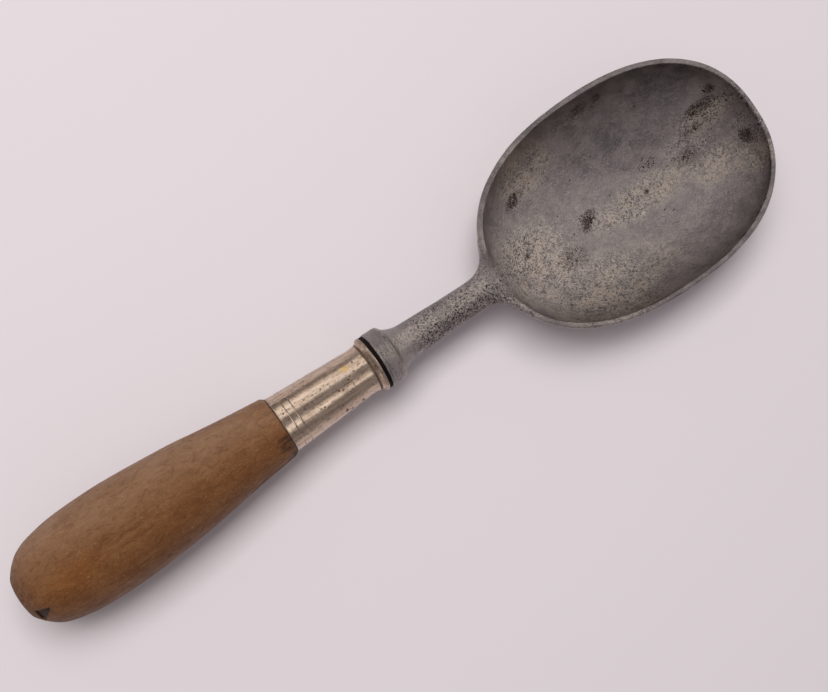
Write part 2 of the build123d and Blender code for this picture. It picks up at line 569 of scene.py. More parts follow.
@dataclass(frozen=True)
class NickelPlate:
    """Worn satin nickel with brushing round the tube, long smears and brown rust spots."""

    bright: Triple = (0.62, 0.49, 0.39)
    smear: Triple = (0.42, 0.31, 0.225)
    brass: Triple = (0.55, 0.37, 0.13)
    rust: Triple = (0.075, 0.035, 0.018)

    def material(self) -> bpy.types.Material:
        """Builds the material.

        Returns:
            The finished material.
        """
        s = Shader("nickel plate")
        smears = s.noise(s.stretched(s.place, (0.05, 1.0, 1.0)), 0.8, 4.0, 0.65)
        tarnish = s.noise(s.place, 0.9, 5.0, 0.7, 0.8)
        cloud = s.noise(s.place, 0.35, 4.0, 0.6, 0.4)
        brushing = s.noise(s.stretched(s.place, (9.0, 0.12, 0.12)), 1.0, 3.0, 0.6)
        base = s.mix(s.span(smears, 0.44, 0.58, 0.0, 0.8), self.bright, self.smear)
        base = s.mix(s.span(cloud, 0.5, 0.72, 0.0, 0.5), base, self.smear)
        base = s.mix(s.span(tarnish, 0.55, 0.64, 0.0, 0.6), base, self.rust)
        lip = PLACES.butt + PLACES.lip
        worn = s.spot((lip - 9.6, 3.6, 23.0), (1.7, 1.3, 3.0))
        base = s.mix(s.times(worn, 0.7), base, self.brass)
        dirt_and_shade = s.maths("MAXIMUM", s.span(s.mark(Mark.PIT), 0.1, 0.7), s.mark(Mark.GRIME_AND_SHADE))
        base = s.mix(s.times(dirt_and_shade, 0.95), base, self.rust)
        rough = s.maths("ADD", s.span(cloud, 0.3, 0.7, 0.17, 0.30), s.times(dirt_and_shade, 0.4))
        metal = s.span(dirt_and_shade, 0.2, 0.9, 1.0, 0.2)
        s.give(Base_Color=base, Roughness=rough, Metallic=metal)
        s.relief([(brushing, 0.012), (cloud, 0.03)])
        return s.material


@dataclass(frozen=True)
class BlackFibre:
    """Compressed fibre, nearly black, matt."""

    black: Triple = (0.004, 0.003, 0.003)
    brown: Triple = (0.035, 0.008, 0.005)

    def material(self) -> bpy.types.Material:
        """Builds the material.

        Returns:
            The finished material.
        """
        s = Shader("black fibre")
        fluff = s.noise(s.place, 1.2, 5.0, 0.65)
        s.give(Base_Color=s.mix(s.span(fluff, 0.5, 0.75), self.black, self.brown), Roughness=0.7,
               Specular_IOR_Level=0.12)
        s.relief([(fluff, 0.08)])
        return s.material


@dataclass(frozen=True)
class TangSteel:
    """Plain steel rod with a brown bloom."""

    grey: Triple = (0.30, 0.30, 0.31)
    bloom: Triple = (0.16, 0.09, 0.05)

    def material(self) -> bpy.types.Material:
        """Builds the material.

        Returns:
            The finished material.
        """
        s = Shader("tang steel")
        cloud = s.noise(s.place, 0.4, 5.0, 0.6)
        s.give(Base_Color=s.mix(s.span(cloud, 0.5, 0.7), self.grey, self.bloom), Roughness=0.45,
               Metallic=0.9)
        s.relief([(cloud, 0.03)])
        return s.material


@dataclass(frozen=True)
class TablePaper:
    """Pale, faintly pink paper under the spoon."""

    tint: Triple = (0.80, 0.75, 0.785)

    def material(self) -> bpy.types.Material:
        """Builds the material.

        Returns:
            The finished material.
        """
        s = Shader("table paper")
        s.give(Base_Color=self.tint, Roughness=0.75)
        s.principled.inputs["Specular IOR Level"].default_value = 0.25
        return s.material


# ---------------------------------------------------------------- geometry node trees


class GeometryTree:
    """Geometry Nodes tree built in the script, with named inputs."""

    def __init__(self, name: str) -> None:
        """Starts a tree with one geometry in and one out.

        Args:
            name: Name of the tree.
        """
        self.tree = bpy.data.node_groups.new(name, "GeometryNodeTree")
        self.nodes = self.tree.nodes
        face = self.tree.interface
        face.new_socket(name="Geometry", in_out="INPUT", socket_type="NodeSocketGeometry")
        face.new_socket(name="Geometry", in_out="OUTPUT", socket_type="NodeSocketGeometry")
        self.start = self.nodes.new("NodeGroupInput")
        self.end = self.nodes.new("NodeGroupOutput")
        self.sockets: dict[str, Any] = {}

    def ask(self, name: str, kind: str, value: Any) -> Any:
        """Adds a named input.

        Args:
            name: Name of the input.
            kind: Socket type, without its NodeSocket prefix.
            value: Default value, or None.

        Returns:
            The socket to link from.
        """
        socket = self.tree.interface.new_socket(
            name=name, in_out="INPUT", socket_type="NodeSocket" + kind
        )
        if value is not None:
            socket.default_value = value
        self.sockets[name] = socket
        return self.start.outputs[name]

    def add(self, kind: str, inputs: dict[Any, Any] | None = None, **settings: Any) -> Any:
        """Adds a node, sets its properties and feeds its inputs.

        Args:
            kind: Node type.
            inputs: Input name or number to a socket or a value.
            settings: Node properties.

        Returns:
            The node.
        """
        node = self.nodes.new(kind)
        for key, value in settings.items():
            setattr(node, key, value)
        for key, value in (inputs or {}).items():
            socket = node.inputs[key]
            if isinstance(value, bpy.types.NodeSocket):
                self.tree.links.new(value, socket)
            else:
                socket.default_value = value
        return node

    def maths(self, operation: str, first: Any, second: Any = 0.0) -> Any:
        """Result of a math operation on two values."""
        return self.add("ShaderNodeMath", {0: first, 1: second}, operation=operation).outputs[0]

    def times(self, first: Any, second: Any) -> Any:
        """Product of two values."""
        return self.maths("MULTIPLY", first, second)

    def vector(self, operation: str, first: Any, second: Any) -> Any:
        """Result of a vector operation on two vectors."""
        node = self.add("ShaderNodeVectorMath", {0: first, 1: second}, operation=operation)
        return node.outputs["Value"] if operation in ("LENGTH", "DISTANCE") else node.outputs[0]

    def close(self, geometry: Any, material: Any) -> None:
        """Ends the tree in Realize Instances and Set Material.

        Args:
            geometry: Geometry to hand out.
            material: Material it gets.
        """
        real = self.add("GeometryNodeRealizeInstances", {0: geometry})
        dressed = self.add("GeometryNodeSetMaterial", {"Geometry": real.outputs[0],
                                                       "Material": material})
        self.tree.links.new(dressed.outputs[0], self.end.inputs[0])

    def put_on(self, piece: bpy.types.Object, **values: Any) -> None:
        """Puts the tree on an object as a modifier and sets its inputs by identifier.

        Args:
            piece: Object to change.
            values: Input names, with _ for a space, and their values.
        """
        modifier = piece.modifiers.new(self.tree.name, "NODES")
        modifier.node_group = self.tree
        for name, value in values.items():
            modifier[self.sockets[name.replace("_", " ")].identifier] = value


def lathe_tree() -> GeometryTree:
    """Tree that turns an outline, drawn as distance and radius, about the spoon's axis.

    Returns:
        The tree.
    """
    g = GeometryTree("lathe")
    segments = g.ask("segments", "Int", 128)
    height = g.ask("axis height", "Float", 0.0)
    material = g.ask("material", "Material", None)
    outline = g.start.outputs[0]
    count = g.add("GeometryNodeAttributeDomainSize", {0: outline}).outputs["Point Count"]
    around = g.maths("ADD", segments, 1.0)
    grid = g.add("GeometryNodeMeshGrid", {"Vertices X": count, "Vertices Y": around})
    index = g.add("GeometryNodeInputIndex").outputs[0]
    row = g.maths("FLOOR", g.maths("DIVIDE", g.maths("ADD", index, 0.5), around))
    step = g.maths("SUBTRACT", index, g.times(row, around))
    place = g.add("GeometryNodeInputPosition").outputs[0]
    sample = g.add("GeometryNodeSampleIndex", {"Geometry": outline, "Value": place, "Index": row},
                   data_type="FLOAT_VECTOR")
    split = g.add("ShaderNodeSeparateXYZ", {0: sample.outputs[0]})
    angle = g.maths("DIVIDE", g.times(step, 2.0 * math.pi), segments)
    radius = split.outputs["Y"]
    side = g.times(radius, g.maths("SINE", angle))
    up = g.maths("ADD", height, g.times(radius, g.maths("COSINE", angle)))
    spot = g.add("ShaderNodeCombineXYZ", {0: split.outputs["X"], 1: side, 2: up})
    turned = g.add("GeometryNodeSetPosition", {"Geometry": grid.outputs[0],
                                               "Position": spot.outputs[0]})
    sealed = g.add("GeometryNodeMergeByDistance", {"Geometry": turned.outputs[0],
                                                   "Distance": 1e-7})
    smooth = g.add("GeometryNodeSetShadeSmooth", {"Geometry": sealed.outputs[0]})
    g.close(smooth.outputs[0], material)
    return g


def wear_tree() -> GeometryTree:
    """Tree that sinks scattered pits into a surface and makes it slightly uneven.

    Returns:
        The tree.
    """
    g = GeometryTree("wear")
    density = g.ask("pits per square metre", "Float", 1000.0)
    reach = g.ask("pit radius", "Float", 0.0005)
    depth = g.ask("pit depth", "Float", 0.0001)
    squash = g.ask("squash", "Vector", (1.0, 1.0, 1.0))
    swell = g.ask("unevenness", "Float", 0.0)
    wave = g.ask("waves per metre", "Float", 40.0)
    seed = g.ask("seed", "Int", 1)
    material = g.ask("material", "Material", None)
    mesh = g.start.outputs[0]
    share = g.add("GeometryNodeInputNamedAttribute", {"Name": Mark.PITTING.value},
                  data_type="FLOAT").outputs[0]
    dots = g.add("GeometryNodeDistributePointsOnFaces",
                 {"Mesh": mesh, "Density": g.times(density, share), "Seed": seed})
    place = g.add("GeometryNodeInputPosition").outputs[0]
    flat = g.vector("MULTIPLY", place, squash)
    dots = g.add("GeometryNodeSetPosition", {"Geometry": dots.outputs["Points"], "Position": flat})
    size = g.add("FunctionNodeRandomValue", {2: 0.35, 3: 1.0, "Seed": seed}, data_type="FLOAT")
    nearest = g.add("GeometryNodeSampleNearest",
                    {"Geometry": dots.outputs[0], "Sample Position": flat}).outputs[0]
    centre = g.add("GeometryNodeSampleIndex", {"Geometry": dots.outputs[0], "Value": place,
                                               "Index": nearest}, data_type="FLOAT_VECTOR")
    scale = g.add("GeometryNodeSampleIndex", {"Geometry": dots.outputs[0],
                                              "Value": size.outputs[1], "Index": nearest})
    distance = g.vector("DISTANCE", flat, centre.outputs[0])
    radius = g.times(reach, scale.outputs[0])
    bowl = g.add("ShaderNodeMapRange", {"Value": g.maths("DIVIDE", distance, radius), 1: 0.25,
                                        2: 1.0, 3: 1.0, 4: 0.0},
                 interpolation_type="SMOOTHSTEP").outputs[0]
    hurt = g.add("GeometryNodeStoreNamedAttribute", {"Geometry": mesh, "Name": Mark.PIT.value,
                                                     "Value": bowl}, data_type="FLOAT")
    sink = g.times(g.times(bowl, depth), g.times(scale.outputs[0], -1.0))
    noise = g.add("ShaderNodeTexNoise", {"Vector": place, "Scale": wave, "Detail": 2.0})
    rise = g.times(g.maths("SUBTRACT", noise.outputs[0], 0.5), swell)
    normal = g.add("GeometryNodeInputNormal").outputs[0]
    move = g.add("ShaderNodeVectorMath", {0: normal, "Scale": g.maths("ADD", sink, rise)},
                 operation="SCALE")
    shaped = g.add("GeometryNodeSetPosition", {"Geometry": hurt.outputs[0],
                                               "Offset": move.outputs[0]})
    g.close(shaped.outputs[0], material)
    return g


@dataclass
class Workshop:
    """The trees and the steps that every piece goes through."""

    lathe: GeometryTree = field(default_factory=lathe_tree)
    wear: GeometryTree = field(default_factory=wear_tree)

    def place(self, name: str, points: np.ndarray, faces: Sequence[Sequence[int]],
              edges: Sequence[Sequence[int]] = ()) -> bpy.types.Object:
        """Makes an object from points in millimetres.

        Args:
            name: Name of the piece.
            points: Points, one row each.
            faces: Corners of each face.
            edges: Loose edges, for an outline.

        Returns:
            The new object.
        """
        mesh = bpy.data.meshes.new(name)
        mesh.from_pydata((points * MM).tolist(), list(edges), list(faces))
        mesh.update()
        piece = bpy.data.objects.new(name, mesh)
        bpy.context.scene.collection.objects.link(piece)
        return piece

    def turn(self, name: str, outline: Sequence[tuple[float, float]], segments: int,
             material: bpy.types.Material) -> bpy.types.Object:
        """Turns an outline on the lathe.

        Args:
            name: Name of the piece.
            outline: Distance from the butt and radius, in millimetres.
            segments: Steps round the axis.
            material: Finish of the piece.

        Returns:
            The turned piece as a plain mesh.
        """
        points = np.array([(PLACES.butt + x, r, 0.0) for x, r in outline])
        edges = [(i, i + 1) for i in range(len(points) - 1)]
        piece = self.place(name, points, (), edges)
        self.lathe.put_on(piece, segments=segments, axis_height=PLACES.axis_height * MM,
                          material=material)
        return self.bake(piece)

    def bake(self, piece: bpy.types.Object) -> bpy.types.Object:
        """Turns a piece's modifiers into a plain mesh and takes them off.

        Args:
            piece: Object with modifiers.

        Returns:
            The same object.
        """
        graph = bpy.context.evaluated_depsgraph_get()
        graph.update()
        mesh = bpy.data.meshes.new_from_object(piece.evaluated_get(graph))
        piece.modifiers.clear()
        piece.data = mesh
        return piece

    def mark(self, piece: bpy.types.Object, which: Mark,
             rule: Callable[[np.ndarray], np.ndarray]) -> None:
        """Writes a wear attribute from a rule on the points.

        Args:
            piece: Piece to mark.
            which: Attribute to write.
            rule: Function of the points, as x from the butt, y and z in millimetres.
        """
        mesh = piece.data
        points = read_points(mesh) / MM
        points[:, 0] -= PLACES.butt
        values = np.broadcast_to(np.clip(rule(points), 0.0, 1.0), (len(points),))
        attribute = mesh.attributes.get(which.value)
        if attribute is None:
            attribute = mesh.attributes.new(which.value, "FLOAT", "POINT")
        attribute.data.foreach_set("value", values.astype(np.float32))

    def weather(self, piece: bpy.types.Object, material: bpy.types.Material,
                **values: Any) -> bpy.types.Object:
        """Sinks pits into a piece and makes it uneven."""
        self.wear.put_on(piece, material=material, **values)
        return self.bake(piece)

    def finish(self, piece: bpy.types.Object, node: str, slot: Slot) -> None:
        """Args:
            piece: Finished piece.
            node: CAD node that it stands for.
            slot: Its material slot; not used.
        """
        points = read_points(piece.data)
        points[:, 2] = np.maximum(points[:, 2], 0.0)
        piece.data.vertices.foreach_set("co", points.ravel())
        for polygon in piece.data.polygons:
            polygon.use_smooth = True
        if signed_volume(piece.data) < 0.0:
            piece.data.flip_normals()
        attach(piece, BODY)
        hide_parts(node)
        LOG.info("%s: %d faces", piece.name, len(piece.data.polygons))


def read_points(mesh: bpy.types.Mesh) -> np.ndarray:
    """Points of a mesh in metres, one row each.

    Args:
        mesh: Mesh to read.

    Returns:
        The points.
    """
    flat = np.zeros(len(mesh.vertices) * 3)
    mesh.vertices.foreach_get("co", flat)
    return flat.reshape(-1, 3)


def signed_volume(mesh: bpy.types.Mesh) -> float:
    """Volume of a closed mesh, negative when its faces point inwards.

    Args:
        mesh: Mesh to measure.

    Returns:
        The volume in cubic metres.
    """
    mesh.calc_loop_triangles()
    corners = np.zeros(len(mesh.loop_triangles) * 3, int)
    mesh.loop_triangles.foreach_get("vertices", corners)
    a, b, c = read_points(mesh)[corners.reshape(-1, 3)].transpose(1, 0, 2)
    return float(np.einsum("ij,ij->i", a, np.cross(b, c)).sum() / 6.0)


def blob(points: np.ndarray, centre: Triple,
         reach: Triple) -> np.ndarray:
    """Soft patch round a place, 1 in the middle and 0 past its reach."""
    local = (points - np.array(centre)) / np.array(reach)
    return 1.0 - smoothstep(0.45, 1.0, np.linalg.norm(local, axis=1))


# ---------------------------------------------------------------- the pieces


@dataclass
class Handle:
    """Turned wooden handle with a bevelled shoulder and a spigot inside the ferrule."""

    belly_radius: float = 16.0
    belly_place: float = 31.0
    butt_radius: float = 6.5
    shoulder_radius: float = 10.45
    bevel: float = 1.4
    bevel_drop: float = 0.7
    spigot_radius: float = 8.7
    spigot_tip_radius: float = 7.3
    chip_depth: float = 0.9
    crack_depth: float = 0.35
    segments: int = 300
    step: float = 0.42
    finish: HandleWood = HandleWood()

    def outline(self) -> Outline:
        """Outline from the middle of the butt to the end of the spigot.

        Returns:
            The outline, as distance and radius.
        """
        bevel_start = PLACES.shoulder - self.bevel
        butt = straight((0.0, 0.0), (0.0, self.butt_radius - 0.8), self.step)
        swell = self.belly_radius - self.butt_radius
        side = curve_through(
            [
                (0.0, self.butt_radius - 0.8),
                (0.45, self.butt_radius + 0.5),
                (0.18 * self.belly_place, self.butt_radius + 0.60 * swell),
                (0.45 * self.belly_place, self.butt_radius + 0.885 * swell),
                (self.belly_place, self.belly_radius),
                (57.0, 14.3),
                (73.0, 12.2),
                (bevel_start - 0.6, self.shoulder_radius + 0.05),
            ],
            self.step,
        )
        edge = curve_through(
            [
                (bevel_start, self.shoulder_radius),
                (bevel_start + 0.5, self.shoulder_radius - 0.15),
                (PLACES.shoulder - 0.25, self.shoulder_radius - self.bevel_drop + 0.12),
                (PLACES.shoulder, self.shoulder_radius - self.bevel_drop - 0.2),
            ],
            0.12,
        )
        spigot = [
            (PLACES.shoulder, self.spigot_radius),
            (PLACES.spigot_end, self.spigot_tip_radius),
            (PLACES.spigot_end, 0.0),
        ]
        return butt + side + edge + spigot

    def shape_wear(self, piece: bpy.types.Object) -> None:
        """Knocks a chip out of the butt's edge and opens a crack near the ferrule.

        Args:
            piece: The turned handle.
        """
        mesh = piece.data
        points = read_points(mesh) / MM
        local = points.copy()
        local[:, 0] -= PLACES.butt
        axis = np.array([0.0, 0.0, PLACES.axis_height])
        outward = local - axis
        outward[:, 0] = 0.0
        outward /= np.maximum(np.linalg.norm(outward, axis=1), 1e-6)[:, None]
        points += outward * (-self.chip_depth * self.chip(local))[:, None]
        points -= outward * (self.crack_depth * self.crack(local))[:, None]
        mesh.vertices.foreach_set("co", (points * MM).ravel())
        mesh.update()

    def chip(self, points: np.ndarray) -> np.ndarray:
        """Share of the three-cornered chip on the butt's edge.

        Args:
            points: Points, as x from the butt, y and z in millimetres.

        Returns:
            The share at each point.
        """
        along = (points[:, 0] - 2.4) / 4.4
        across = np.abs(points[:, 1] + 7.4 - 0.12 * points[:, 0])
        near = smoothstep(1.15, 0.6, across / (2.2 * np.clip(1.0 - along, 0.0, 1.0) + 0.15))
        return near * (along > 0.0) * (along < 1.0) * (points[:, 2] > 20.0)

    def crack(self, points: np.ndarray) -> np.ndarray:
        """Share of the thin crack that runs from the ferrule down the lower side.

        Args:
            points: Points, as x from the butt, y and z in millimetres.

        Returns:
            The share at each point.
        """
        side = np.degrees(np.arctan2(points[:, 1], points[:, 2] - PLACES.axis_height))
        wander = -74.0 + 3.0 * np.sin(points[:, 0] * 0.35) + 0.25 * (points[:, 0] - 80.0)
        near = 1.0 - smoothstep(0.5, 2.6, np.abs(side - wander))
        return near * smoothstep(70.0, 76.0, points[:, 0]) * (points[:, 0] < PLACES.shoulder)

    def grime_and_shade(self, points: np.ndarray) -> np.ndarray:
        """Dark dirt: in the chip, in the crack, along the ferrule and at the shoulder.

        Args:
            points: Points, as x from the butt, y and z in millimetres.

        Returns:
            The strength at each point.
        """
        chip = 1.3 * self.chip(points)
        side = blob(points, (88.6, -5.2, 23.0), (6.5, 4.6, 7.0)) * 0.50
        corner_dirt = blob(points, (88.5, -9.5, 19.0), (4.0, 3.0, 6.0)) * 0.5
        edge = smoothstep(PLACES.shoulder - 0.5, PLACES.shoulder - 0.05, points[:, 0]) * 0.7
        butt = 0.16 * smoothstep(3.0, 0.4, points[:, 0])
        return np.maximum.reduce([chip, 0.9 * self.crack(points), side, corner_dirt, edge, butt])

    def painted_sheen(self, points: np.ndarray) -> np.ndarray:
        """Where a painted sheen greys the wood: on its left side, most of all near the ferrule."""
        return smoothstep(-4.0, 11.0, points[:, 1]) * smoothstep(-8.0, 12.0, points[:, 0])

    def build(self, shop: Workshop) -> bpy.types.Object:
        """Turns, marks and dresses the handle.

        Args:
            shop: The shared trees and steps.

        Returns:
            The finished handle.
        """
        material = self.finish.material()
        piece = shop.turn("turned_handle", self.outline(), self.segments, material)
        self.shape_wear(piece)
        shop.mark(piece, Mark.PITTING, lambda p: 0.35 + 0.65 * smoothstep(40.0, 0.0, p[:, 0]))
        shop.mark(piece, Mark.GRIME_AND_SHADE, self.grime_and_shade)
        shop.mark(piece, Mark.PAINTED_SHEEN, self.painted_sheen)
        shop.weather(piece, material, pits_per_square_metre=30000.0, pit_radius=0.00024,
                     pit_depth=0.00012, squash=(0.4, 1.0, 1.0), unevenness=0.00022,
                     waves_per_metre=70.0, seed=4)
        shop.finish(piece, "handle", Slot.WOOD)
        return piece


@dataclass
class Ferrule:
    """Nickel-plated tube with two scribed lines, a rolled groove and a flared lip."""

    wall: float = 0.65
    mouth_radius: float = 9.55
    throat_radius: float = 8.0
    throat_from_lip: float = 4.6
    bead_radius: float = 8.3
    groove_from_lip: float = 2.4
    groove_half: float = 0.36
    groove_depth: float = 0.6
    lip_radius: float = 9.45
    scribed: tuple[float, float] = (3.3, 5.7)
    scribe_depth: float = 0.10
    segments: int = 256
    finish: NickelPlate = NickelPlate()

    def outside(self, x: float) -> float:
        """Outer radius of the plain tube at a distance from the butt.

        Args:
            x: Distance from the butt.

        Returns:
            The radius.
        """
        throat = PLACES.lip - self.throat_from_lip
        share = (x - PLACES.shoulder) / (throat - PLACES.shoulder)
        return self.mouth_radius + share * (self.throat_radius - self.mouth_radius)

    def outline(self) -> Outline:
        """Closed outline: along the outside, round the lip and back inside.

        Returns:
            The outline, as distance and radius.
        """
        mouth = PLACES.shoulder
        throat = PLACES.lip - self.throat_from_lip
        groove = PLACES.lip - self.groove_from_lip
        outer = corner((mouth + 0.18, self.mouth_radius - 0.18), 0.18, 180.0, 95.0, 4)
        step = 0.2
        x = mouth + 0.4
        while x < throat - 0.5:
            dip = sum(
                self.scribe_depth * math.exp(-((x - mouth - line) / 0.14) ** 2)
                for line in self.scribed
            )
            outer.append((x, self.outside(x) - dip))
            near = min(abs(x - mouth - line) for line in self.scribed)
            x += 0.07 if near < 0.6 else step
        outer += curve_through(
            [
                (throat - 0.5, self.outside(throat - 0.5)),
                (throat - 0.1, self.throat_radius + 0.03),
                (groove - self.groove_half - 0.12, self.bead_radius - 0.06),
                (groove - self.groove_half, self.bead_radius),
            ],
            0.1,
        )
        outer += [
            (groove - 0.5 * self.groove_half, self.bead_radius - 0.75 * self.groove_depth),
            (groove, self.bead_radius - self.groove_depth),
            (groove + 0.5 * self.groove_half, self.bead_radius - 0.7 * self.groove_depth),
        ]
        outer += curve_through(
            [
                (groove + self.groove_half, self.bead_radius + 0.06),
                (groove + 0.9, self.bead_radius + 0.42),
                (groove + 1.45, self.lip_radius - 0.14),
                (PLACES.lip - 0.55, self.lip_radius),
                (PLACES.lip - 0.2, self.lip_radius - 0.03),
                (PLACES.lip - 0.04, self.lip_radius - 0.12),
            ],
            0.15,
        )
        inner = [
            (PLACES.lip, self.lip_radius - 0.2),
            (PLACES.lip, self.lip_radius - self.wall),
            (groove + 1.6, self.lip_radius - self.wall),
            (groove, self.bead_radius - self.groove_depth - self.wall),
            (throat, self.throat_radius - self.wall),
            (mouth, self.mouth_radius - self.wall),
            (mouth, self.mouth_radius - 0.18),
        ]
        return outer + inner

    def grime_and_shade(self, points: np.ndarray) -> np.ndarray:
        """Rust: in the groove and the scribed lines, at the wood, and in a few spots.

        Args:
            points: Points, as x from the butt, y and z in millimetres.

        Returns:
            The strength at each point.
        """
        groove = PLACES.lip - self.groove_from_lip
        x = points[:, 0]
        patchy = 0.6 + 0.4 * np.sin(points[:, 1] * 1.3 + 0.6)
        found = [np.exp(-((x - groove) / 0.40) ** 4) * (0.75 + 0.25 * patchy)]
        found.append(0.5 * smoothstep(groove - 0.2, PLACES.lip, x) * (1.3 - patchy))
        found += [
            0.55 * np.exp(-((x - PLACES.shoulder - line) / 0.12) ** 2) * patchy
            for line in self.scribed
        ]
        found.append(0.9 * np.exp(-((x - PLACES.shoulder) / 0.30) ** 2))
        spots = (
            (20.0, -1.0, 0.55), (21.3, -1.5, 0.45), (24.3, 0.3, 0.75), (25.2, 0.9, 0.5),
            (24.9, -0.4, 0.4), (20.4, 0.6, 0.35), (21.6, -3.4, 0.4), (19.4, -7.4, 0.7),
            (21.2, -7.9, 0.4), (25.6, -7.6, 0.6), (15.5, 2.6, 0.35), (28.4, 4.1, 0.4),
            (27.2, 1.6, 0.35), (9.0, -5.0, 0.4), (7.6, 0.4, 0.3), (12.4, -2.6, 0.3),
            (2.0, 2.6, 0.4), (17.2, -4.9, 0.4), (34.2, -2.6, 0.9), (34.0, -4.6, 0.8),
        )
        for place, side, size in spots:
            at = PLACES.shoulder + place
            up = math.sqrt(max(self.outside(at) ** 2 - side ** 2, 0.0))
            found.append(blob(points, (at, side, PLACES.axis_height + up), (size, size, 1.4)))
        return np.maximum.reduce(found)

    def build(self, shop: Workshop) -> bpy.types.Object:
        """Turns, marks and dresses the ferrule.

        Args:
            shop: The shared trees and steps.

        Returns:
            The finished ferrule.
        """
        material = self.finish.material()
        piece = shop.turn("plated_ferrule", self.outline(), self.segments, material)
        shop.mark(piece, Mark.PITTING, lambda p: 0.25 + 0.75 * smoothstep(108.0, 122.0, p[:, 0]))
        shop.mark(piece, Mark.GRIME_AND_SHADE, self.grime_and_shade)
        shop.weather(piece, material, pits_per_square_metre=60000.0, pit_radius=0.00035,
                     pit_depth=0.00006, squash=(1.0, 1.0, 1.0), unevenness=0.00007,
                     waves_per_metre=120.0, seed=9)
        shop.finish(piece, "ferrule", Slot.NICKEL)
        return piece


@dataclass
class Washer:
    """Black fibre ring between the ferrule and the collar."""

    radius: float = 9.3
    hole_radius: float = 3.2
    edge: float = 0.25
    segments: int = 180
    finish: BlackFibre = BlackFibre()

    def outline(self) -> Outline:
        """Closed outline of the ring.

        Returns:
            The outline, as distance and radius.
        """
        start, end = PLACES.lip, PLACES.collar
        e = self.edge
        return (
            [(start, self.hole_radius), (start, 6.0)]
            + corner((start + e, self.radius - e), e, 180.0, 90.0, 4)
            + corner((end - e, self.radius - e), e, 90.0, 0.0, 4)
            + [(end, 6.0), (end, self.hole_radius), (start, self.hole_radius)]
        )

    def build(self, shop: Workshop) -> bpy.types.Object:
        """Turns and dresses the washer.

        Args:
            shop: The shared trees and steps.

        Returns:
            The finished washer.
        """
        material = self.finish.material()
        piece = shop.turn("fibre_washer", self.outline(), self.segments, material)
        shop.mark(piece, Mark.PITTING, lambda p: np.ones(len(p)))
        shop.weather(piece, material, pits_per_square_metre=0.0, unevenness=0.00016,
                     waves_per_metre=350.0, seed=3)
        shop.finish(piece, "washer", Slot.FIBRE)
        return piece


